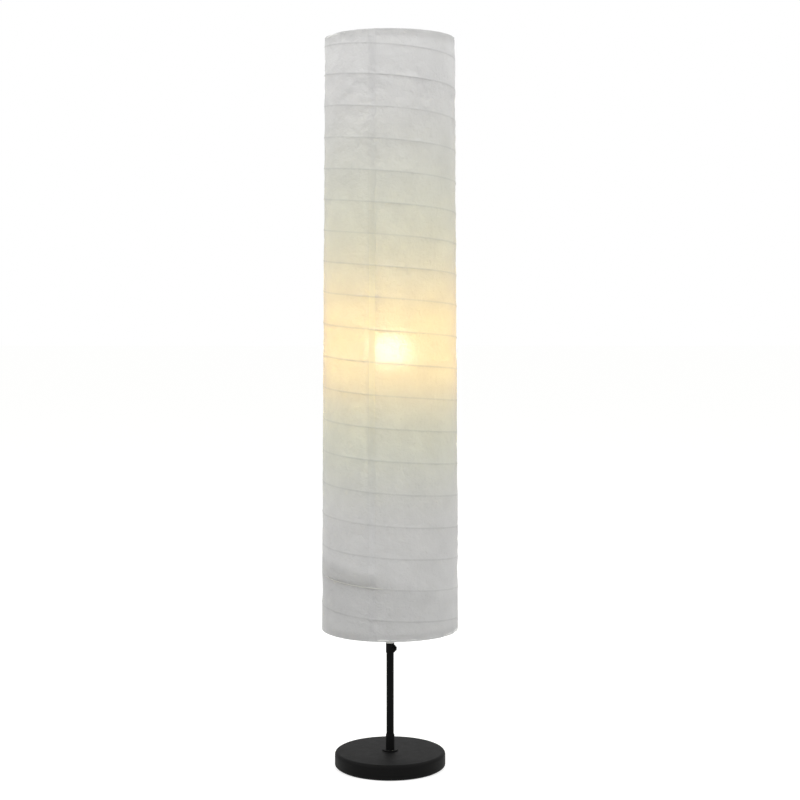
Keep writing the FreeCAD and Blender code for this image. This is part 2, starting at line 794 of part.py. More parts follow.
def make_winding():
    """The wire wound inside the paper: one unbroken left-handed tube from ring to ring."""
    wire = number("winding_dia")
    end_room = number("ring_wire_dia / 2 + winding_end_gap") + wire / 2
    top = number("top_ring_height") - end_room
    bottom = number("bottom_ring_height") + end_room
    inset = number("paper_wall + paper_gap") + wire / 2
    wide = number("shade_bottom_dia / 2") - inset
    narrow = number("shade_top_dia / 2") - inset

    def radius_at(height):
        share = (height - number("shade_bottom")) / number("shade_length")
        return wide + (narrow - wide) * share

    turns = (top - bottom) / number("winding_pitch")
    quarters = round(4 * turns)
    stations = [winding_point(turns * index / quarters, top, radius_at) for index in range(quarters + 1)]
    edges = []
    for (start, leaving), (end, arriving) in zip(stations, stations[1:]):
        edges += two_arcs(start, leaving, end, arriving)
    path = Part.Wire(Part.__sortEdges__(edges))
    first_point, first_direction = stations[0]
    section = Part.Wire([Part.Circle(first_point, first_direction, wire / 2).toShape()])
    winding = doc.addObject("Part::Feature", "spiral_wire")
    winding.Shape = path.makePipeShell([section], True, False)
    winding.Label = "spiral_wire"
    sub_parts.append(winding)

    expected = math.pi * wire ** 2 / 4 * path.Length
    print(f"spiral_wire: {turns:.2f} turns, {path.Length:.0f} mm long, "
          f"volume {winding.Shape.Volume / expected:.4f} of section times length, "
          f"least gap to itself {least_gap(path, wire, turns):.2f} mm")


def least_gap(path, wire, turns):
    """The least gap between neighbouring turns of the wound wire, measured on points."""
    per_turn = 48
    points = path.discretize(Number=round(turns * per_turn))
    nearest = min(
        points[index].distanceToPoint(other)
        for index in range(len(points))
        for other in points[index + per_turn // 2:index + 2 * per_turn]
    )
    return nearest - wire


# ---- carrier of the bottom ring ---------------------------------------------------------------

def make_carrier():
    bearing = number("screw_bearing")
    collar = new_body("clamp_collar")
    barrel = add_sketch(collar, "XY_Plane", "collar_barrel")
    draw_circle(barrel, "0", "0", "collar_dia")
    pad(collar, barrel, "collar_height")
    boss = add_sketch(collar, "YZ_Plane", "collar_boss")
    draw_circle(boss, "0", "boss_height", "boss_dia")
    pad(collar, boss, "boss_reach")
    bore = add_sketch(collar, "XY_Plane", "collar_bore_hole")
    draw_circle(bore, "0", "0", "collar_bore")
    pocket(collar, bore, "collar_height", reverse=True)
    screw_hole = add_sketch(collar, "YZ_Plane", "collar_screw_hole")
    draw_circle(screw_hole, "0", "boss_height", "screw_dia + 2 * thread_clearance")
    pocket(collar, screw_hole, "boss_reach", reverse=True)
    collar.Placement = FreeCAD.Placement(FreeCAD.Vector(), FreeCAD.Rotation(FreeCAD.Vector(0, 0, 1), bearing))
    lift(collar, "collar_bottom")

    # thumbscrew: turned upright, then laid along its bearing with its tip at the pole
    tip = "pole_dia / 2 + slide_clearance"
    head_start = f"boss_reach + stack_gap - ({tip})"
    head_end = f"{head_start} + screw_head_thick"
    screw = turned("thumbscrew", [
        ("0", "0"),
        ("screw_dia / 2", "0"),
        ("screw_dia / 2", head_start),
        ("screw_head_dia / 2", head_start),
        ("screw_head_dia / 2", head_end),
        ("0", head_end),
    ])
    round_edges(screw, "screw_head_dia", head_end, "screw_head_thick / 4")
    way = FreeCAD.Vector(math.cos(math.radians(bearing)), math.sin(math.radians(bearing)), 0)
    screw.Placement.Rotation = FreeCAD.Rotation(FreeCAD.Vector(0, 0, 1), way)
    screw.setExpression("Placement.Base.x", bound(f"({tip}) * cos(screw_bearing * 1 deg)"))
    screw.setExpression("Placement.Base.y", bound(f"({tip}) * sin(screw_bearing * 1 deg)"))
    lift(screw, "screw_height")

    length = "carrier_hub_top - carrier_hub_bottom"
    tube("carrier_hub", "carrier_hub_dia", "collar_bore", length, "carrier_hub_bottom")
    spokes = new_body("carrier_spokes")
    section = add_sketch(spokes, "YZ_Plane", "carrier_spoke_section")
    draw_circle(section, "0", "0", "spoke_dia")
    start = "carrier_hub_dia / 2 + weld_gap"
    section.setExpression("AttachmentOffset.Base.z", bound(start))
    pad(spokes, section, f"bottom_ring_radius - ring_wire_dia / 2 - weld_gap - ({start})")
    pattern_round(spokes, spokes.Tip, "spoke_count")
    turn_to_rear(spokes)
    lift(spokes, "bottom_ring_height")
    make_ring("bottom_ring", "bottom_ring_radius", "bottom_ring_height")


def check_and_write():
    """Stop at any failed object or bad shape, then write one file per sub-part."""
    doc.recompute()
    for item in doc.Objects:
        if "Invalid" in item.State or "Error" in item.State:
            raise RuntimeError(item.Name + " failed: " + str(item.State))
    for sub_part in sub_parts:
        shape = sub_part.Shape
        if shape.isNull() or not shape.isValid() or not shape.Solids:
            raise RuntimeError(sub_part.Label + " has no good shape")
    os.makedirs("parts", exist_ok=True)
    for sub_part in sub_parts:
        sub_part.Shape.exportStep(f"parts/{sub_part.Label}.step")
    print(len(sub_parts), "sub-parts written")


make_base()
make_pole()
make_lampholder()
make_bulb()
make_harp()
make_top_fitting()
make_shade()
make_carrier()
check_and_write()
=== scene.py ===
import math

import bmesh
import bpy
import numpy as np
from mathutils import Euler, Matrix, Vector, noise


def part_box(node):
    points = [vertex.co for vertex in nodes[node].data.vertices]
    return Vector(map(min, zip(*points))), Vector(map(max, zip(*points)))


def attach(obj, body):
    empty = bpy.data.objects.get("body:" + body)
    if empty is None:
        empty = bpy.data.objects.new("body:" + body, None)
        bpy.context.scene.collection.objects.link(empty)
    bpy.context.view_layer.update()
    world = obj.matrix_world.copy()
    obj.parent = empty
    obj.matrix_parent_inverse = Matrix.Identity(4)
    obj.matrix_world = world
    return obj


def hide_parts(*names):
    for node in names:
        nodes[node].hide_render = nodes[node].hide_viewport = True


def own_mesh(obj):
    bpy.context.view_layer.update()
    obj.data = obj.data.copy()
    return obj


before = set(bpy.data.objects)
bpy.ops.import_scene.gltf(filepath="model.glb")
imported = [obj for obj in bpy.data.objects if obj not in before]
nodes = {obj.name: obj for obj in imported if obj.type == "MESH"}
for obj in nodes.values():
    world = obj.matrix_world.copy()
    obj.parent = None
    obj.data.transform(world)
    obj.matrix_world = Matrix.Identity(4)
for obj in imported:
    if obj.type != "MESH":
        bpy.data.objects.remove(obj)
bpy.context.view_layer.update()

# A paper lantern floor lamp, lit. Metres, Z up, and the front of the lamp faces -Y.

mm = 0.001
near = {                          # how near points must be to count as one, or as on one line
    "point": 0.001 * mm,
    "cut": 0.0001 * mm,
    "level": 0.01 * mm,
    "seam": 0.02 * mm,
    "sliver": 0.08 * mm,          # a leftover of the level cuts
}


def clearSelection():
    if bpy.context.mode != "OBJECT":
        bpy.ops.object.mode_set(mode="OBJECT")
    bpy.ops.object.select_all(action="DESELECT")


def pick(piece):
    clearSelection()
    piece.select_set(True)
    bpy.context.view_layer.objects.active = piece


def added(name):
    # the primitive that was just added, under its own name
    piece = bpy.context.view_layer.objects.active
    piece.name = name
    piece.data.name = name
    return piece


def settle(piece):
    # put a piece's place, turn and size into its mesh
    pick(piece)
    bpy.ops.object.transform_apply(location=True, rotation=True, scale=True)


def applyAll(piece):
    pick(piece)
    for modifier in list(piece.modifiers):
        bpy.ops.object.modifier_apply(modifier=modifier.name)


def editMesh(piece, kind="VERT"):
    pick(piece)
    bpy.ops.object.mode_set(mode="EDIT")
    bpy.ops.mesh.select_mode(type=kind)
    bpy.ops.mesh.select_all(action="DESELECT")


def selectWhere(piece, kind, test):
    # select the edges or faces in edit mode that pass a test
    mesh = bmesh.from_edit_mesh(piece.data)
    for item in {"EDGE": mesh.edges, "FACE": mesh.faces}[kind]:
        item.select_set(bool(test(item)))
    bmesh.update_edit_mesh(piece.data)


def points(piece):
    flat = np.empty(len(piece.data.vertices) * 3, np.float32)
    piece.data.vertices.foreach_get("co", flat)
    return flat.reshape(-1, 3).astype(float)


def setPoints(piece, rows):
    piece.data.vertices.foreach_set("co", rows.astype(np.float32).ravel())
    piece.data.update()


def joined(name, pieces):
    clearSelection()
    for piece in pieces:
        piece.select_set(True)
    bpy.context.view_layer.objects.active = pieces[0]
    bpy.ops.object.join()
    return added(name)


def copied(piece, turn):
    # a copy with its own mesh, turned about the lamp's axis, in degrees
    twin = piece.copy()
    twin.data = piece.data.copy()
    bpy.context.collection.objects.link(twin)
    twin.rotation_euler = (0, 0, math.radians(turn))
    settle(twin)
    return twin


def smooth(piece, angle):
    pick(piece)
    bpy.ops.object.shade_smooth_by_angle(angle=math.radians(angle))


def turned(name, profile, sides, closed=True):
    # a round piece about Z, from radius and height in millimetres, extruded ring by ring
    clearSelection()
    radius, height = profile[0]
    bpy.ops.mesh.primitive_circle_add(vertices=sides, radius=radius * mm, location=(0, 0, height * mm))
    piece = added(name)
    settle(piece)
    editMesh(piece)
    bpy.ops.mesh.select_all(action="SELECT")
    for nextRadius, nextHeight in profile[1:]:
        step = (0, 0, (nextHeight - height) * mm)
        bpy.ops.mesh.extrude_edges_move(TRANSFORM_OT_translate={"value": step})
        share = nextRadius / radius
        bpy.ops.transform.resize(value=(share, share, 1), center_override=(0, 0, nextHeight * mm))
        radius, height = nextRadius, nextHeight
    if closed:
        bpy.ops.mesh.select_all(action="SELECT")
        bpy.ops.mesh.fill_holes(sides=0)
    bpy.ops.mesh.select_all(action="SELECT")
    bpy.ops.mesh.remove_doubles(threshold=near["point"])
    bpy.ops.mesh.normals_make_consistent(inside=False)
    bpy.ops.object.mode_set(mode="OBJECT")
    return piece


def linear(hexColour):
    # an sRGB hex value as the linear colour that the nodes work with
    channels = [int(hexColour[i:i + 2], 16) / 255 for i in (1, 3, 5)]
    return (*[c / 12.92 if c <= 0.04045 else ((c + 0.055) / 1.055) ** 2.4 for c in channels], 1.0)


def addNode(tree, kind, settings=None, inputs=None):
    # an input is a value, or the socket or the node that is linked to it
    node = tree.nodes.new(kind)
    for name, value in (settings or {}).items():
        setattr(node, name, value)
    for name, value in (inputs or {}).items():
        if isinstance(value, bpy.types.Node):
            value = next(socket for socket in value.outputs if socket.enabled)
        if isinstance(value, bpy.types.NodeSocket):
            tree.links.new(value, node.inputs[name])
        else:
            node.inputs[name].default_value = value
    return node


def calc(tree, operation, *values):
    return addNode(tree, "ShaderNodeMath", {"operation": operation}, dict(enumerate(values)))


def ranged(tree, value, start, end, low=0.0, high=1.0, soft=False):
    # the value's run from start to end, as a run from low to high
    return addNode(tree, "ShaderNodeMapRange", {"interpolation_type": "SMOOTHSTEP"} if soft else None, {
        "Value": value, "From Min": start, "From Max": end, "To Min": low, "To Max": high})


def mixed(tree, share, first, second):
    return addNode(tree, "ShaderNodeMix", {"data_type": "RGBA"}, {0: share, 6: first, 7: second})


def clouds(tree, place, size, **inputs):
    # noise with spots of a size in millimetres
    return addNode(tree, "ShaderNodeTexNoise", inputs={"Vector": place, "Scale": 1000 / size, **inputs})


def newMaterial(name, values):
    # one Principled shader that takes the uniform values, and the output
    material = bpy.data.materials.new(name)
    material.use_nodes = True
    tree = material.node_tree
    tree.nodes.clear()
    shader = addNode(tree, "ShaderNodeBsdfPrincipled", inputs=values)
    output = addNode(tree, "ShaderNodeOutputMaterial", inputs={"Surface": shader})
    return material, tree, shader, output


def cover(piece, material):
    piece.data.materials.clear()
    piece.data.materials.append(material)


view = {
    "distance": 2.55,           # from the lamp's axis
    "height": 0.742,
    "focal": 1587.0,            # in pixels of the frame
    "tiltDown": 3.27,
    "axisAt": 390.0,            # where the lamp's axis lies across the frame, in pixels
    "frameWidth": 800,
    "sensor": 36.0,
}


def placeCamera():
    data = bpy.data.cameras.new("camera")
    data.sensor_width = view["sensor"]
    data.lens = view["sensor"] * view["focal"] / view["frameWidth"]
    camera = bpy.data.objects.new("camera", data)
    bpy.context.collection.objects.link(camera)
    aside = math.atan((view["frameWidth"] / 2 - view["axisAt"]) / view["focal"])
    camera.location = (0, -view["distance"], view["height"])
    camera.rotation_euler = Euler((math.radians(90 - view["tiltDown"]), 0, -aside))
    bpy.context.scene.camera = camera
    print("camera: lens", round(data.lens, 2), "mm")


light = {
    "skyStrength": 0.60,
    "lamps": {                  # place, width across, power in watts
        "keyBox": ((-1.65, -1.1, 2.5), 1.5, 32.0),
        "fillBox": ((1.65, -1.1, 2.4), 1.5, 27.0),
        "backBox": ((0.3, 1.9, 2.5), 1.5, 15.0),
    },
    "aim": (0, 0, 0.85),
    "floorColour": "#CFCFCD",
    "floorLift": 0.62,          # what the floor adds for the camera alone, to reach white
    "floorWidth": 60,
    "floorDrop": 0.0004,        # keeps the floor clear of the foot pad's underside
}


def seenDirectly(tree):
    # 1 for camera, glossy and transmission rays, 0 for the rays that light the lamp
    rays = addNode(tree, "ShaderNodeLightPath").outputs
    seen = calc(tree, "MAXIMUM", rays["Is Camera Ray"], rays["Is Glossy Ray"])
    return calc(tree, "MAXIMUM", seen, rays["Is Transmission Ray"])


def setStage():
    world = bpy.data.worlds.new("studio")
    bpy.context.scene.world = world
    world.use_nodes = True
    tree = world.node_tree
    tree.nodes.clear()
    white = linear("#FFFFFF")
    lighting = addNode(tree, "ShaderNodeBackground", inputs={
        "Color": white, "Strength": light["skyStrength"]})
    shown = addNode(tree, "ShaderNodeBackground", inputs={"Color": white, "Strength": 1.0})
    both = addNode(tree, "ShaderNodeMixShader", inputs={0: seenDirectly(tree), 1: lighting, 2: shown})
    addNode(tree, "ShaderNodeOutputWorld", inputs={"Surface": both})

    for name, (place, width, power) in light["lamps"].items():
        data = bpy.data.lights.new(name, "AREA")
        data.shape = "DISK"
        data.size = width
        data.energy = power
        lamp = bpy.data.objects.new(name, data)
        bpy.context.collection.objects.link(lamp)
        lamp.location = place
        towards = Vector(light["aim"]) - Vector(place)
        lamp.rotation_euler = towards.to_track_quat("-Z", "Y").to_euler()

    clearSelection()
    bpy.ops.mesh.primitive_plane_add(size=light["floorWidth"], location=(0, 0, -light["floorDrop"]))
    floor = added("floor")
    # emulsion rolled on board: pale grey, matt, lifted to white for the camera
    paint, tree, shader, _ = newMaterial("mattFloorPaint", {
        "Base Color": linear(light["floorColour"]), "Roughness": 0.9, "Specular IOR Level": 0.0,
        "Emission Color": white})
    lift = calc(tree, "MULTIPLY", seenDirectly(tree), light["floorLift"])
    tree.links.new(lift.outputs[0], shader.inputs["Emission Strength"])
    cover(floor, paint)
    bpy.context.scene.view_settings.view_transform = "Standard"
    print("stage: floor, world and", len(light["lamps"]), "soft boxes")


placeCamera()
setStage()

paperLow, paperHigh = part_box("shade_paper")

paper = {                         # a length times mm is in metres, a bare one in millimetres
    "bottom": paperLow.z,
    "top": paperHigh.z,
    "radiusBottom": 110.6 * mm,   # outside, over the wire
    "radiusTop": 103.5 * mm,
    "wall": 0.4 * mm,
    "columns": 168,
    # how far below its wire each row of points runs
    "rows": (0, 0.7, 1.9, 5.0, 9.5, 14.5, 19.6, 24.7, 29.8, 34.8, 39.8, 44.3, 47.3, 48.6),
    "pasted": 3.5,                # it is held down this near to the wire, and loose beyond
    "ridge": 0.18 * mm,           # a narrow welt right over the wire
    "ridgeWidth": 1.1,
    "sag": 0.38 * mm,             # how far the paper falls in between two turns
    "sagPower": 1.1,
    "pucker": (6.5, 7.0, 0.22 * mm),     # spacing, reach from the wire, depth
    "puckerRound": 106,           # radius that the spacing is counted on
    "puckerShift": 3.7,           # what sets one turn's puckers apart from the next one's
    "crease": (24.0, 2.6 * mm, 0.55),    # size of the crumpled facets, depth, level of the plain sheet
    "wrinkle": (12.0, 1.35 * mm, 3.0),   # size, depth, and where its noise is taken from
    "crumpleShape": (1.0, 1.0, 1.8),     # crumples are this much wider than high
    "patches": (60, 7.0, -0.25, 0.45),   # size, place in the noise, and where they start and are full
    # worked most near the top: from and to which height in metres, least crumpling, what is added
    "handled": (0.93, 1.12, 0.55, 0.75),
    "swell": (85.0, 0.8 * mm, 11.0),
    "swellShape": (1.0, 1.0, 1.7),
}
winding = {
    "wire": 0.7 * mm,             # radius of the wire
    "sides": 8,
    "steps": 90,                  # for each turn
    "pitch": 49.33 * mm,
    "turns": 18.93,
    "top": 1165.0 * mm,           # where its top end is
    "start": 117.0,               # degrees from +X, and it runs on from there as it goes down
    # hand winding is uneven: how far above an even winding it lies, in millimetres, at these turns
    "liftedTurns": (0, 1, 5, 8.5, 12, 16, 18.93, 19),
    "lifts": (0, 5.0, 7.5, 10.0, 6.0, 1.0, 2.8, 0),
    "table": (-1, 21, 1200),      # first and last turn of its table of heights, and the rows in it
    "endSlack": 0.002,            # in turns
    "noWire": 25.0,               # the distance noted where no wire runs, in millimetres
}
fold = {                          # the loose panel low on the left
    "turn": 17,                   # the wire that it hangs from, counted at the front
    "bearings": (192, 214, 246, 272),    # where it starts, is full, fades and ends
    "depth": 3.4 * mm,
    "hollow": (-13, 3, 9, 40.0),  # the same four, in millimetres below its wire
    "crest": 1.7 * mm,
    "crestAbove": 23,
    "crestWidth": 9,
}
lap = {                           # where the sheet's two ends overlap
    "bearing": 254.9,
    "columns": 3,                 # of the sheet's columns of faces
    "width": 9.8 * mm,
    "lift": 0.28 * mm,
    "wall": 0.22 * mm,
}
hems = {                          # each hem's steps: radius from the ring's middle, height from the edge
    "ringWire": 1.8,              # radius of the ring's own wire
    "top": ((1.4, 0.35), (-0.2, 0.4), (-1.7, 0.0), (-2.4, -2.0), (-2.5, -6.0), (-2.4, -9.5)),
    "bottom": ((1.3, -0.5), (-0.3, -0.55), (-1.7, -0.2), (-2.4, 2.0), (-2.5, 6.0), (-2.4, 10.0)),
    "spokes": (90, 210, 330),     # bearings of the notches
    "notch": 2.6,                 # degrees to each side
    "notchFrom": 2,               # the step that the notches start inside
    "deep": 12 * mm,              # how far from the edge the notches may reach
}
# the winding's height at the bearing of +X, if it ran on upwards
zeroHeight = winding["top"] + winding["pitch"] * winding["start"] / 360
windingTurns = np.linspace(*winding["table"])
windingHeights = winding["top"] - winding["pitch"] * windingTurns + mm * np.interp(
    windingTurns, winding["liftedTurns"], winding["lifts"])


def unevenly(heights):
    # from an even winding to the real one
    return np.interp((winding["top"] - heights) / winding["pitch"], windingTurns, windingHeights)


def bearingsOf(rows):
    return np.arctan2(rows[:, 1], rows[:, 0]) / (2 * math.pi) % 1.0


def woundPlace(rows):
    # the nearest wire's number, how far below it each point lies in millimetres, and whether that wire
    # is there
    bearing = bearingsOf(rows)
    turns = np.interp(-rows[:, 2], -windingHeights, windingTurns)
    below = turns + winding["start"] / 360 - bearing
    wire = np.round(below)
    gone = wire + bearing - winding["start"] / 360
    slack = winding["endSlack"]
    there = (gone > -slack) & (gone < winding["turns"] + slack)
    return wire, (below - wire) * winding["pitch"] / mm, there


def taperedRadius(heights):
    share = (heights - paper["bottom"]) / (paper["top"] - paper["bottom"])
    return paper["radiusBottom"] + (paper["radiusTop"] - paper["radiusBottom"]) * share


def easing(value, low, high):
    share = np.clip((value - low) / (high - low), 0, 1)
    return share * share * (3 - 2 * share)


def noiseAt(rows, size, place):
    return np.array([noise.noise(Vector(row) + Vector((place, 0, 0))) for row in rows / (size * mm)])


def facetsAt(rows, size):
    return np.array([noise.voronoi(Vector(row))[0][0] for row in rows / (size * mm)])


def paperRelief(rows):
    # how far the paper stands out from the plain taper
    wire, gap, there = woundPlace(rows)
    bearing = bearingsOf(rows)
    away = np.abs(gap)
    free = 1 - np.exp(-away / paper["pasted"])
    between = np.sin(math.pi * np.clip(away * mm / winding["pitch"], 0, 1))
    relief = -paper["sag"] * between ** paper["sagPower"]
    relief += paper["ridge"] * np.exp(-(away / paper["ridgeWidth"]) ** 2) * there

    spacing, reach, depth = paper["pucker"]
    around, shift = paper["puckerRound"], paper["puckerShift"]
    pleats = np.array([noise.noise(Vector((math.cos(b * 2 * math.pi) * around / spacing,
                                           math.sin(b * 2 * math.pi) * around / spacing, w * shift)))
                       for b, w in zip(bearing, wire)])
    relief += depth * pleats * np.exp(-away / reach) * free * 2

    low, high, least, more = paper["handled"]
    worked = least + more * easing(rows[:, 2], low, high)
    size, place, low, high = paper["patches"]
    patches = easing(noiseAt(rows, size, place), low, high)
    crumpled = rows * np.array(paper["crumpleShape"])
    size, depth, plain = paper["crease"]
    relief += depth * (facetsAt(crumpled, size) - plain) * patches * free * worked
    size, depth, place = paper["wrinkle"]
    relief -= depth * np.abs(noiseAt(crumpled, size, place)) * 2 * patches * free * worked
    size, depth, place = paper["swell"]
    relief += depth * noiseAt(rows * np.array(paper["swellShape"]), size, place) * free

    # the loose panel: a soft crest over its wire and a hollow under it
    start, full, fade, end = fold["bearings"]
    turn = bearing * 360
    across = easing(turn, start, full) * (1 - easing(turn, fade, end))
    down = gap + (wire - fold["turn"]) * winding["pitch"] / mm
    start, full, fade, end = fold["hollow"]
    hollow = easing(down, start, full) * (1 - easing(down, fade, end))
    crest = np.exp(-((down + fold["crestAbove"]) / fold["crestWidth"]) ** 2)
    relief += across * (crest * fold["crest"] - hollow * fold["depth"])
    return relief


def pushOut(piece, extra=0.0):
    # put every point at its place on the pasted, crumpled paper
    rows = points(piece)
    bearing = bearingsOf(rows) * 2 * math.pi
    radius = taperedRadius(rows[:, 2]) + paperRelief(rows) + extra
    rows[:, 0], rows[:, 1] = np.cos(bearing) * radius, np.sin(bearing) * radius
    setPoints(piece, rows)


def woundSheet():
    # one strip wound down the winding's own slope, so that its rows follow the wire: a plane is merged
    # to one point, which is drawn down into the strip's edge
    clearSelection()
    pitch = winding["pitch"]
    bpy.ops.mesh.primitive_plane_add(size=10 * mm, location=(paper["radiusBottom"], 0, zeroHeight + pitch))
    sheet = added("paperShade")
    settle(sheet)
    editMesh(sheet)
    bpy.ops.mesh.select_all(action="SELECT")
    bpy.ops.mesh.merge(type="CENTER")
    levels = [level * mm for level in paper["rows"]] + [pitch]
    for upper, lower in zip(levels, levels[1:]):
        bpy.ops.mesh.extrude_region_move(TRANSFORM_OT_translate={"value": (0, 0, upper - lower)})
    bpy.ops.object.mode_set(mode="OBJECT")
    wound = sheet.modifiers.new("wound", "SCREW")
    wound.axis = "Z"
    wound.screw_offset = -pitch
    wound.iterations = math.ceil((paper["top"] - paper["bottom"]) / pitch) + 2
    wound.steps = wound.render_steps = paper["columns"]
    applyAll(sheet)
    editMesh(sheet)
    bpy.ops.mesh.select_all(action="SELECT")
    bpy.ops.mesh.remove_doubles(threshold=near["seam"])
    for height, side in ((paper["top"], 1), (paper["bottom"], -1)):
        bpy.ops.mesh.select_all(action="SELECT")
        bpy.ops.mesh.bisect(plane_co=(0, 0, height), plane_no=(0, 0, side), clear_outer=True,
                            threshold=near["cut"])
    bpy.ops.mesh.select_all(action="SELECT")
    bpy.ops.mesh.remove_doubles(threshold=near["sliver"])
    bpy.ops.mesh.normals_make_consistent(inside=False)
    bpy.ops.object.mode_set(mode="OBJECT")
    rows = points(sheet)
    rows[:, 2] = unevenly(rows[:, 2])
    setPoints(sheet, rows)
    return sheet


def cutLap(sheet):
    # the overlap's second layer: the sheet's faces there, copied, narrowed and lifted off
    editMesh(sheet, "FACE")
    half = 180 / paper["columns"] * lap["columns"]

    def inLap(face):
        middle = face.calc_center_median()
        return abs(math.degrees(math.atan2(middle.y, middle.x)) % 360 - lap["bearing"]) < half

    selectWhere(sheet, "FACE", inLap)
    bpy.ops.mesh.duplicate()
    bpy.ops.mesh.separate(type="SELECTED")
    bpy.ops.object.mode_set(mode="OBJECT")
    strip = next(piece for piece in bpy.context.selected_objects if piece is not sheet)
    strip.name = strip.data.name = "paperLap"
    rows = points(strip)
    bearing = bearingsOf(rows) * 360
    middle = (bearing.min() + bearing.max()) / 2
    wide = math.degrees(lap["width"] / paper["radiusBottom"])
    moved = np.radians(lap["bearing"] + (bearing - middle) * wide / (bearing.max() - bearing.min()))
    rows[:, 2] -= (np.degrees(moved) - bearing) / 360 * winding["pitch"]
    rows[:, 2] = np.clip(rows[:, 2], paper["bottom"], paper["top"])
    rows[:, 0] = np.cos(moved) * paper["radiusBottom"]
    rows[:, 1] = np.sin(moved) * paper["radiusBottom"]
    setPoints(strip, rows)
    return strip


def foldHems(sheet):
    # each end is folded in over its ring, and notched where a spoke meets the ring
    for ringName, height, radius, steps in (
        ("top_ring", paper["top"], paper["radiusTop"], hems["top"]),
        ("bottom_ring", paper["bottom"], paper["radiusBottom"], hems["bottom"]),
    ):
        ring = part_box(ringName)[1].x / mm - hems["ringWire"]
        editMesh(sheet, "EDGE")
        selectWhere(sheet, "EDGE", lambda edge: edge.is_boundary and all(
            abs(vertex.co.z - height) < near["level"] for vertex in edge.verts))
        level = 0.0
        for step, nextLevel in steps:
            nextRadius = ring + step
            bpy.ops.mesh.extrude_edges_move(
                TRANSFORM_OT_translate={"value": (0, 0, (nextLevel - level) * mm)})
            share = nextRadius * mm / radius
            bpy.ops.transform.resize(
                value=(share, share, 1), center_override=(0, 0, height + nextLevel * mm))
            radius, level = nextRadius * mm, nextLevel
        inner = (ring + steps[hems["notchFrom"]][0]) * mm
        bpy.ops.mesh.select_mode(type="FACE")

        def inNotch(face):
            middle = face.calc_center_median()
            turn = math.degrees(math.atan2(middle.y, middle.x)) % 360
            return (abs(middle.z - height) < hems["deep"] and math.hypot(middle.x, middle.y) < inner
                    and min(abs(turn - spoke) for spoke in hems["spokes"]) < hems["notch"])

        selectWhere(sheet, "FACE", inNotch)
        bpy.ops.mesh.delete(type="FACE")
    bpy.ops.mesh.select_all(action="SELECT")
    bpy.ops.mesh.normals_make_consistent(inside=False)
    bpy.ops.object.mode_set(mode="OBJECT")


def thicken(piece, wall):
    wallOf = piece.modifiers.new("wall", "SOLIDIFY")
    wallOf.thickness = wall
    wallOf.offset = -1
    wallOf.use_even_offset = True
    applyAll(piece)
    smooth(piece, angle=50)


def followPaper(piece):
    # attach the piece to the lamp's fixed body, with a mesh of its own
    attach(piece, "root")
    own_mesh(piece)


def noteWinding(piece):
    # what the paper's material reads: each point's own place, and how far it is from the wire
    rows = points(piece)
    _, gap, there = woundPlace(rows)
    place = piece.data.attributes.new("restPlace", "FLOAT_VECTOR", "POINT")
    place.data.foreach_set("vector", rows.astype(np.float32).ravel())
    away = piece.data.attributes.new("wireGap", "FLOAT", "POINT")
    away.data.foreach_set("value", np.where(there, np.abs(gap), winding["noWire"]).astype(np.float32))


tube = woundSheet()
print("paper: sheet wound,", len(tube.data.polygons), "faces")
strip = cutLap(tube)
pushOut(tube)
pushOut(strip, lap["lift"])
foldHems(tube)
thicken(tube, paper["wall"])
thicken(strip, lap["wall"])
noteWinding(tube)
noteWinding(strip)
print("paper: creased, hemmed and given its wall,", len(tube.data.polygons), "faces")


def woundWire():
    # the lantern's one long wire, from its top end at the ring to its bottom end
    clearSelection()
    centre = paper["radiusTop"] - paper["wall"] - winding["wire"]
    bpy.ops.mesh.primitive_circle_add(vertices=winding["sides"], radius=winding["wire"],
                                      location=(centre, 0, winding["top"]), rotation=(math.pi / 2, 0, 0))
    wire = added("windingWire")
    settle(wire)
    coil = wire.modifiers.new("coil", "SCREW")
    coil.axis = "Z"
    coil.angle = 2 * math.pi * winding["turns"]
    coil.screw_offset = -winding["pitch"] * winding["turns"]
    coil.steps = coil.render_steps = round(winding["turns"] * winding["steps"])
    applyAll(wire)
    wire.rotation_euler = (0, 0, math.radians(winding["start"]))
    settle(wire)
    rows = points(wire)
    radius = np.hypot(rows[:, 0], rows[:, 1])
    spread = (radius + taperedRadius(rows[:, 2]) - paper["radiusTop"]) / radius
    rows[:, 0], rows[:, 1] = rows[:, 0] * spread, rows[:, 1] * spread
    rows[:, 2] = unevenly(rows[:, 2])
    setPoints(wire, rows)
    editMesh(wire)
    bpy.ops.mesh.select_all(action="SELECT")
    bpy.ops.mesh.fill_holes(sides=0)
    bpy.ops.mesh.select_all(action="SELECT")
    bpy.ops.mesh.normals_make_consistent(inside=False)
    bpy.ops.object.mode_set(mode="OBJECT")
    smooth(wire, angle=60)
    print("winding: wire of", winding["turns"], "turns,", len(wire.data.polygons), "faces")
    return wire


wire = woundWire()

glow = {                          # painted lamplight in the paper's emission and colour: colours, and heights and reaches in metres
    "bulbHeight": 0.672,
    "reachUp": 0.130,             # from the bulb's height
    "reachDown": 0.072,
    "strength": 0.125,
    "through": "#FFEED8",         # painted lamplight tint on what scatters through the fibres
    "core": "#FFE28C",            # and nearest to the bulb
    "lampTintUp": 0.42,               # how far above the bulb the painted lamplight tint reaches in the paper's colour
    "lampTintDown": 0.28,
    "lampTintFull": 0.35,             # the share of that way over which it stays fully warm
}
fibres = {                        # spots of noise, in millimetres
    "cloud": 34,
    "fibre": 3.2,                 # on real paper they are finer
    "cockle": 9,
    "pasteSpot": 70,
    "fibreInMass": 0.35,          # how much the fibres count in the sheet's thickness
    "mass": (0.45, 0.9),          # thin to thick
    "tone": (0.955, 1.03),        # by daylight, from thin to thick
    "litTone": (1.06, 0.93),      # by lamplight
    "tooth": 0.22,                # how much they count beside the cockles
    "relief": 1.3 * mm,
}
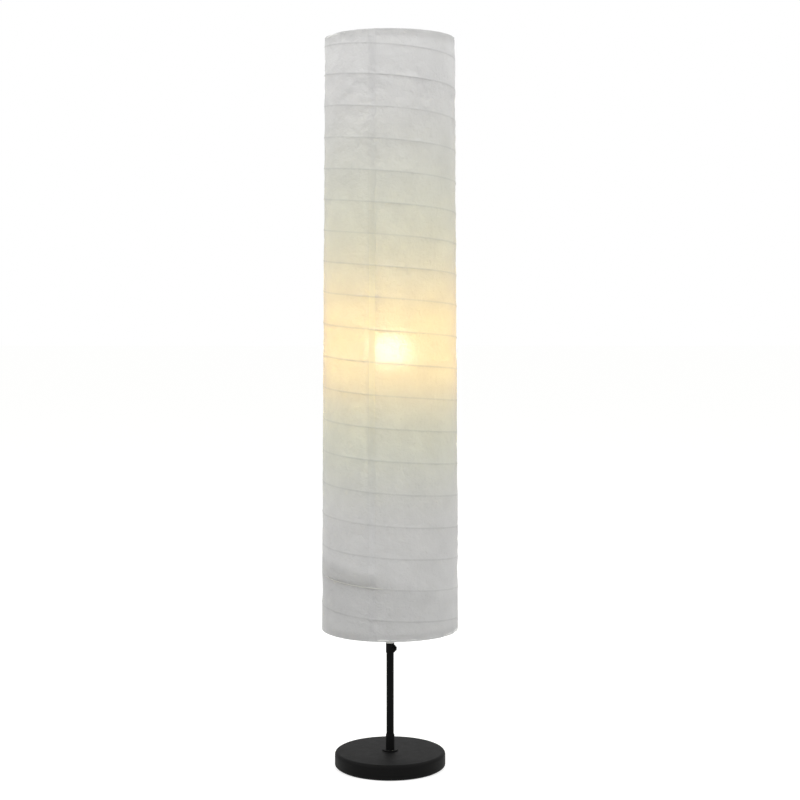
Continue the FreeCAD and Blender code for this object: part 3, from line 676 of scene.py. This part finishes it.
paintedLowShade = {                        # painted shade: the last turn is darker towards the bottom edge, more on the left
    "slope": 0.30,                # its edge rises to the left
    "edge": (0.304, 0.328),
    "aside": (-0.09, 0.08),       # left to right, in metres
    "tone": (0.87, 0.94),
}
pasteAndShadowLine = {                      # the wire shows as a thin dull line: partly paste, partly painted shade of its ridge
    "edge": (0.5, 1.7),           # millimetres from the wire
    "patch": (0.35, 0.65),
    "tone": (0.995, 0.965),       # where the paste is thin and where it is thick
    "glow": 0.80,                 # the share of the painted glow that the wire's painted shadow lets by
}


def ricePaper(name, plain, warm, glowShare, glowColour, thinness):
    # mulberry fibre sheet, couched and dried on boards: soft white, matt, cloudy, cockled where it is
    # pasted, with painted lamplight round the bulb (a glowing band and a warm tint), and painted shade low
    # down and along the wire
    material, tree, shader, output = newMaterial(name, {
        "Roughness": 0.27, "Specular IOR Level": 0.12, "Transmission Weight": 0.27,
        "Emission Color": linear(glowColour)})
    place = addNode(tree, "ShaderNodeAttribute", {"attribute_name": "restPlace"}).outputs["Vector"]
    gap = addNode(tree, "ShaderNodeAttribute", {"attribute_name": "wireGap"}).outputs["Fac"]
    here = addNode(tree, "ShaderNodeTexCoord").outputs["Object"]
    parts = addNode(tree, "ShaderNodeSeparateXYZ", inputs={0: here})
    height, aside = parts.outputs["Z"], parts.outputs["X"]
    up = calc(tree, "SUBTRACT", height, glow["bulbHeight"])

    # distance from the bulb's height, in reaches, above and below: the glow falls with its fourth power
    above = calc(tree, "DIVIDE", up, glow["reachUp"])
    below = calc(tree, "DIVIDE", up, -glow["reachDown"])
    far = calc(tree, "MAXIMUM", above, below)
    square = calc(tree, "MULTIPLY", far, far)
    band = calc(tree, "DIVIDE", 1.0, calc(tree, "MULTIPLY_ADD", square, square, 1.0))
    full = glow["lampTintFull"]
    # painted lamplight: the paper's colour is tinted towards the warm colour near the bulb's height
    paintedTintAbove = ranged(tree, up, glow["lampTintUp"], full * glow["lampTintUp"], soft=True)
    paintedTintBelow = ranged(tree, up, -glow["lampTintDown"], -full * glow["lampTintDown"], soft=True)
    paintedLampTint = calc(tree, "MULTIPLY", paintedTintAbove, paintedTintBelow)

    cloud = clouds(tree, place, fibres["cloud"], Detail=4.0, Roughness=0.62)
    fibre = clouds(tree, place, fibres["fibre"], Detail=3.0, Roughness=0.7, Distortion=1.2)
    mass = calc(tree, "MULTIPLY_ADD", fibre, fibres["fibreInMass"], cloud)
    density = ranged(tree, mass, *fibres["mass"], *fibres["tone"])
    # painted shade: the paper is darker towards the bottom edge, and more on the left
    lowShadeLevel = calc(tree, "MULTIPLY_ADD", aside, paintedLowShade["slope"], height)
    lowShadeTone = ranged(tree, aside, *paintedLowShade["aside"], *paintedLowShade["tone"])
    paintedLowShading = ranged(tree, lowShadeLevel, *paintedLowShade["edge"], lowShadeTone, soft=True)

    # the line along the wire: a darker tone, partly paste and partly painted shade of its ridge, and a
    # painted shadow that dims the glow
    clear = ranged(tree, gap, *pasteAndShadowLine["edge"], soft=True)
    patchy = clouds(tree, place, fibres["pasteSpot"], Detail=1.0)
    pasteAndShadeTone = ranged(tree, patchy, *pasteAndShadowLine["patch"], *pasteAndShadowLine["tone"])
    pasteAndShadeLine = ranged(tree, clear, 0, 1, pasteAndShadeTone)
    wireShadowOnGlow = ranged(tree, clear, 0, 1, pasteAndShadowLine["glow"])

    colour = mixed(tree, paintedLampTint, linear(plain), linear(warm))
    shade = calc(tree, "MULTIPLY", calc(tree, "MULTIPLY", density, pasteAndShadeLine), paintedLowShading)
    toned = addNode(tree, "ShaderNodeVectorMath", {"operation": "SCALE"}, {0: colour, "Scale": shade})
    # painted glow: emission in a band round the bulb's height, less where the fibres are thick and along
    # the wire
    litMass = ranged(tree, mass, *fibres["mass"], *fibres["litTone"])
    paintedGlow = calc(tree, "MULTIPLY", calc(tree, "MULTIPLY", band, wireShadowOnGlow), litMass)
    paintedGlow = calc(tree, "MULTIPLY", paintedGlow, glow["strength"] * glowShare)

    cockle = clouds(tree, place, fibres["cockle"], Detail=3.0, Roughness=0.55, Distortion=0.4)
    rise = calc(tree, "MULTIPLY_ADD", fibre, fibres["tooth"], cockle)
    bump = addNode(tree, "ShaderNodeBump", inputs={
        "Height": rise, "Strength": 1.0, "Distance": fibres["relief"]})
    for socket, source in (("Base Color", toned), ("Emission Strength", paintedGlow), ("Normal", bump)):
        tree.links.new(source.outputs[0], shader.inputs[socket])

    # painted lamplight tint on the light that scatters through, dimmed by the wire's painted shadow
    paintedLampTintThrough = mixed(tree, paintedLampTint, linear("#FFFFFF"), linear(glow["through"]))
    paintedLampTintThrough = mixed(tree, band, paintedLampTintThrough, linear(glow["core"]))
    scattered = addNode(tree, "ShaderNodeVectorMath", {"operation": "MULTIPLY"}, {0: toned, 1: paintedLampTintThrough})
    scattered = addNode(tree, "ShaderNodeVectorMath", {"operation": "SCALE"}, {
        0: scattered, "Scale": wireShadowOnGlow})
    through = addNode(tree, "ShaderNodeBsdfTranslucent", inputs={"Color": scattered, "Normal": bump})
    both = addNode(tree, "ShaderNodeMixShader", inputs={0: thinness, 1: shader, 2: through})
    tree.links.new(both.outputs[0], output.inputs["Surface"])
    return material


# the paper's own colour away from the bulb and its colour under the painted lamplight tint near it, the
# strength and colour of its painted glow, and the share of the light that scatters through
cover(tube, ricePaper("pastedRicePaper", plain="#E8E8E8", warm="#E9EFE9",
                      glowShare=1.0, glowColour="#FFA64F", thinness=0.26))
cover(strip, ricePaper("doubledRicePaper", plain="#ECECEC", warm="#EBF0E9",
                       glowShare=2.3, glowColour="#FFDE8C", thinness=0.26))

toneRange = (0.7, 1.3)            # what the patches and the grain add up to, dark tone to light tone


def plainFinish(name, colours, roughness, patch, grain, relief, along, values):
    # two tones and the roughness change over patches, and the grain is raised: sizes in millimetres
    material, tree, shader, _ = newMaterial(name, values)
    place = addNode(tree, "ShaderNodeTexCoord").outputs["Object"]
    run = addNode(tree, "ShaderNodeMapping", inputs={"Vector": place, "Scale": along})
    patches = clouds(tree, run, patch, Detail=4.0, Roughness=0.6)
    grains = clouds(tree, run, grain, Detail=2.0, Roughness=0.55)
    both = calc(tree, "ADD", patches, grains)
    tone = ranged(tree, both, *toneRange)
    colour = mixed(tree, tone, linear(colours[0]), linear(colours[1]))
    polish = ranged(tree, both, *toneRange, *roughness)
    bump = addNode(tree, "ShaderNodeBump", inputs={
        "Height": grains, "Strength": 1.0, "Distance": relief * mm})
    for socket, source in (("Base Color", colour.outputs[2]), ("Roughness", polish.outputs[0]),
                           ("Normal", bump.outputs[0])):
        tree.links.new(source, shader.inputs[socket])
    return material


finishes = {                      # tones, roughness, patch, grain, relief, stretch, other values
    # polyester powder, sprayed and baked on steel: deep matt black with a fine pebbled skin
    "bakedPowderCoat": (("#080808", "#0E0E0E"), (0.56, 0.66), 14.0, 1.1, 0.05, (1, 1, 1),
                        {"Specular IOR Level": 0.08}),
    # epoxy dipped on drawn wire: smooth white with a slight sag in its thickness
    "dippedWhiteEpoxy": (("#D9D9D6", "#E6E6E3"), (0.30, 0.42), 18.0, 2.2, 0.04, (1, 1, 1),
                         {"Specular IOR Level": 0.45}),
    # spring wire under pasted paper: dull white lacquer, drawn lines along it
    "lacqueredSpringWire": (("#B9B8B2", "#D2D1CB"), (0.40, 0.55), 12.0, 0.9, 0.03, (1, 1, 1),
                            {"Specular IOR Level": 0.4}),
    # nickel over brushed steel: grey, softly streaked round the part
    "satinNickelPlate": (("#A8A59E", "#C4C1BA"), (0.24, 0.36), 9.0, 0.8, 0.012, (1, 1, 6),
                         {"Metallic": 1.0}),
    # bright zinc with a clear passivate: bluish grey with faint clouds
    "passivatedZinc": (("#9EA3A8", "#B9BEC2"), (0.34, 0.50), 5.0, 0.7, 0.02, (1, 1, 1), {"Metallic": 1.0}),
    # brass off the lathe, left bare: yellow with turned lines, slightly tarnished in patches
    "turnedBrass": (("#A8843F", "#C9A75C"), (0.26, 0.42), 6.0, 0.5, 0.015, (1, 1, 8), {"Metallic": 1.0}),
    # cement cast in a pan: pale grey, pitted, chalky
    "castCement": (("#8A8882", "#A9A69F"), (0.85, 0.98), 22.0, 2.4, 0.4, (1, 1, 1),
                   {"Specular IOR Level": 0.3}),
    # closed-cell foam, skived from a block: charcoal with open bubbles
    "skivedFoam": (("#26262A", "#35353A"), (0.86, 0.97), 16.0, 1.3, 0.25, (1, 1, 1),
                   {"Specular IOR Level": 0.25}),
    # black rubber, moulded: dull with a powdery bloom
    "mouldedRubber": (("#1B1B1C", "#2A2A2B"), (0.62, 0.76), 5.0, 0.8, 0.03, (1, 1, 1),
                      {"Specular IOR Level": 0.35}),
    # plasticised vinyl, drawn over cores: even black with a soft shine
    "drawnVinylSheath": (("#161617", "#222223"), (0.42, 0.52), 9.0, 1.0, 0.02, (1, 1, 1),
                         {"Specular IOR Level": 0.4}),
    # phenolic, pressed in a hot die: brown black, glossy, with faint flow marks
    "pressedPhenolic": (("#17120F", "#241B16"), (0.22, 0.34), 11.0, 1.2, 0.015, (1, 1, 0.5),
                        {"Specular IOR Level": 0.5}),
    # glazed steatite: cream white, wet looking, with pinholes
    "glazedSteatite": (("#DEDBD2", "#EBE8E0"), (0.10, 0.20), 7.0, 1.1, 0.02, (1, 1, 1),
                       {"Specular IOR Level": 0.5, "Coat Weight": 0.6, "Coat Roughness": 0.08}),
    # filled polyester, injection moulded: bright white with a spark-eroded satin face
    "mouldedWhitePolyester": (("#DEDEDA", "#E8E8E5"), (0.38, 0.48), 15.0, 0.9, 0.025, (1, 1, 1),
                              {"Specular IOR Level": 0.45}),
    # thin nickelled brass, rolled into a thread: pale and bright, with fine rolling lines
    "rolledNickelShell": (("#B7B4AD", "#D0CDC6"), (0.18, 0.30), 7.0, 0.6, 0.01, (1, 1, 7),
                          {"Metallic": 1.0}),
    # black glass run round the contact: deep and shiny, slightly wavy
    "pouredBlackGlass": (("#08080A", "#101014"), (0.05, 0.12), 4.0, 1.5, 0.02, (1, 1, 1),
                         {"Specular IOR Level": 0.55}),
    # aluminium board under white solder mask: flat white with a weave just showing
    "screenedSolderMask": (("#D3D6D2", "#E2E5E1"), (0.35, 0.46), 9.0, 0.7, 0.015, (1, 1, 1),
                           {"Specular IOR Level": 0.45}),
    # opal polycarbonate, blown: milky and evenly lit from inside
    "blownOpalGlobe": (("#F3EDE2", "#FBF6EC"), (0.30, 0.38), 25.0, 3.0, 0.01, (1, 1, 1),
                       {"Specular IOR Level": 0.5, "Emission Color": linear("#FFF4DC"),
                        "Emission Strength": 35.0}),
}
worn = {                          # which CAD nodes each finish goes on
    "bakedPowderCoat": "base_cover foot_flange foot_sleeve lower_pole upper_pole clamp_collar thumbscrew",
    "dippedWhiteEpoxy": "spider_hub spider_spokes top_ring carrier_hub carrier_spokes bottom_ring",
    "lacqueredSpringWire": "spiral_wire",
    "satinNickelPlate": "harp_saddle harp harp_ferrules finial",
    "passivatedZinc": "base_nut base_washer base_nipple pole_joint_nipple holder_nipple",
    "turnedBrass": "harp_stud screw_shell centre_contact terminal_screws bulb_contact",
    "castCement": "base_weight",
    "skivedFoam": "foot_pad",
    "mouldedRubber": "cord_gland",
    "drawnVinylSheath": "inner_lead",
    "pressedPhenolic": "holder_cap holder_shell",
    "glazedSteatite": "holder_core",
    "mouldedWhitePolyester": "bulb_housing",
    "rolledNickelShell": "bulb_cap",
    "pouredBlackGlass": "bulb_insulator",
    "screenedSolderMask": "led_board driver_board",
    "blownOpalGlobe": "bulb_globe",
}
made = {name: plainFinish(name, *values) for name, values in finishes.items()}
for finish, names in worn.items():
    for name in names.split():
        cover(nodes[name], made[finish])
cover(wire, made["lacqueredSpringWire"])
print("finishes:", len(made), "on", sum(len(names.split()) for names in worn.values()), "parts")

for piece in (tube, strip, wire):
    followPaper(piece)
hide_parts("shade_paper")
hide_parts("spiral_wire")


def fluted(piece, knurl):
    # straight knurls: every other column of points is pressed in, at the radius of the band
    rows = points(piece)
    radius = np.hypot(rows[:, 0], rows[:, 1])
    column = np.round(bearingsOf(rows) * 2 * knurl["flutes"])
    pressed = (np.abs(radius - knurl["band"] * mm) < near["seam"]) & (column % 2 == 1)
    share = np.where(pressed, 1 - knurl["fluteDepth"] / knurl["band"], 1)
    rows[:, 0], rows[:, 1] = rows[:, 0] * share, rows[:, 1] * share
    setPoints(piece, rows)


clampScrew = {                    # radius and distance from its tip, in millimetres
    "profile": ((1.5, 0), (2.0, 0.4), (2.0, 2.32), (3.25, 2.32), (3.7, 2.62), (3.7, 3.35), (3.7, 4.08),
                (3.35, 4.42), (2.3, 4.42), (1.9, 4.22)),
    "flutes": 22,
    "band": 3.7,                  # the radius that the flutes are pressed into
    "fluteDepth": 0.24,
    "tip": 6.08,                  # how far the tip is from the pole's axis
    "bearing": -12,
}
finialNut = {                     # radius and height over its seat
    "profile": ((5.3, 0), (5.6, 0.15), (5.6, 1.5), (6.0, 1.75), (6.5, 2.1), (6.5, 4.9), (6.5, 7.7),
                (6.05, 8.1), (5.3, 8.35), (5.2, 9.0), (5.35, 9.4), (5.1, 10.4), (4.3, 11.2),
                (3.0, 11.75), (1.4, 11.97)),
    "flutes": 32,
    "band": 6.5,
    "fluteDepth": 0.3,
}
baseShell = {                     # in millimetres
    "radius": 90.0,
    "bottom": 0.8,
    "top": 24.6,
    "wall": 1.5,
    "bore": 5.0,
    "flat": (52, 13),             # loops of points across its top
    "topRound": 5.5,
    "lipRound": 3.2,              # the rim is rolled in under the edge
    "sides": 192,
    "steps": 9,
}
welds = {                         # bearings, then radius, height, and half sizes along, up and across
    "bearings": (90, 210, 330),
    "ripple": (0.05, 900),        # share of the size, waves for each metre
    "rings": (("topWelds", "root", ((99.2, 1167.6, 2.7, 1.5, 1.5), (11.3, 1152.7, 1.9, 1.5, 1.2))),
              ("carrierWelds", "carrier", ((106.3, 228.1, 2.6, 1.6, 1.5), (7.3, 228.1, 1.9, 1.8, 1.1)))),
}


def makeClampScrew():
    screw = turned("knurledClampScrew", clampScrew["profile"], clampScrew["flutes"] * 2)
    fluted(screw, clampScrew)
    low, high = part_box("thumbscrew")
    turn = math.radians(clampScrew["bearing"])
    screw.rotation_euler = (0, math.pi / 2, turn)
    screw.location = (clampScrew["tip"] * mm * math.cos(turn), clampScrew["tip"] * mm * math.sin(turn),
                      (low.z + high.z) / 2)
    settle(screw)
    smooth(screw, angle=35)
    return screw


def makeFinial():
    nut = turned("knurledFinial", finialNut["profile"], finialNut["flutes"] * 2)
    fluted(nut, finialNut)
    nut.location.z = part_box("finial")[0].z
    settle(nut)
    smooth(nut, angle=35)
    return nut


def arcOf(radius, height, size, start, end):
    # the corner points of a rounded edge, about its own middle
    steps = baseShell["steps"]
    turns = [math.radians(start + (end - start) * step / steps) for step in range(steps + 1)]
    return [(radius + size * math.cos(turn), height + size * math.sin(turn)) for turn in turns]


def makeBaseShell():
    # the pressed cover's section, run round: out under the rim, up the wall, over the edge and in
    radius, wall = baseShell["radius"], baseShell["wall"]
    lip, edge = baseShell["lipRound"], baseShell["topRound"]
    low, high = baseShell["bottom"] + lip, baseShell["top"] - edge
    section = arcOf(radius - lip, low, lip, -90, 0) + arcOf(radius - edge, high, edge, 0, 90)
    section += [(loop, baseShell["top"]) for loop in (*baseShell["flat"], baseShell["bore"])]
    section.append((baseShell["bore"], baseShell["top"] - wall))
    section += arcOf(radius - edge, high, edge - wall, 90, 0) + arcOf(radius - lip, low, lip - wall, 0, -90)
    section.append(section[0])
    shell = turned("pressedBaseShell", section, baseShell["sides"], closed=False)
    smooth(shell, angle=32)
    return shell


def makeWelds(name, beads):
    share, waves = welds["ripple"]
    pieces = []
    for radius, height, along, up, across in beads:
        clearSelection()
        bpy.ops.mesh.primitive_uv_sphere_add(segments=20, ring_count=12, radius=1.0)
        bead = added(name)
        bead.scale = (across * mm, along * mm, up * mm)
        bead.location = (radius * mm, 0, height * mm)
        settle(bead)
        rows = points(bead)
        ripple = 1 + share * np.array([noise.noise(Vector(row) * waves) for row in rows])
        middle = np.array([radius * mm, 0, height * mm])
        setPoints(bead, middle + (rows - middle) * ripple[:, None])
        pieces += [copied(bead, turn) for turn in welds["bearings"]]
        bpy.data.objects.remove(bead)
    bead = joined(name, pieces)
    smooth(bead, angle=60)
    return bead


screw = makeClampScrew()
nut = makeFinial()
shell = makeBaseShell()
cover(screw, made["bakedPowderCoat"])
cover(nut, made["satinNickelPlate"])
cover(shell, made["bakedPowderCoat"])
for piece, body, node, slotName in ((screw, "thumbscrew", "thumbscrew", "powder_black"),
                                    (nut, "finial", "finial", "nickel"),
                                    (shell, "root", "base_cover", "powder_black")):
    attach(piece, body)
    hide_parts(node)
for name, body, beads in welds["rings"]:
    bead = makeWelds(name, beads)
    cover(bead, made["dippedWhiteEpoxy"])
    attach(bead, body)
print("fittings: clamp screw, finial, base shell and weld beads")
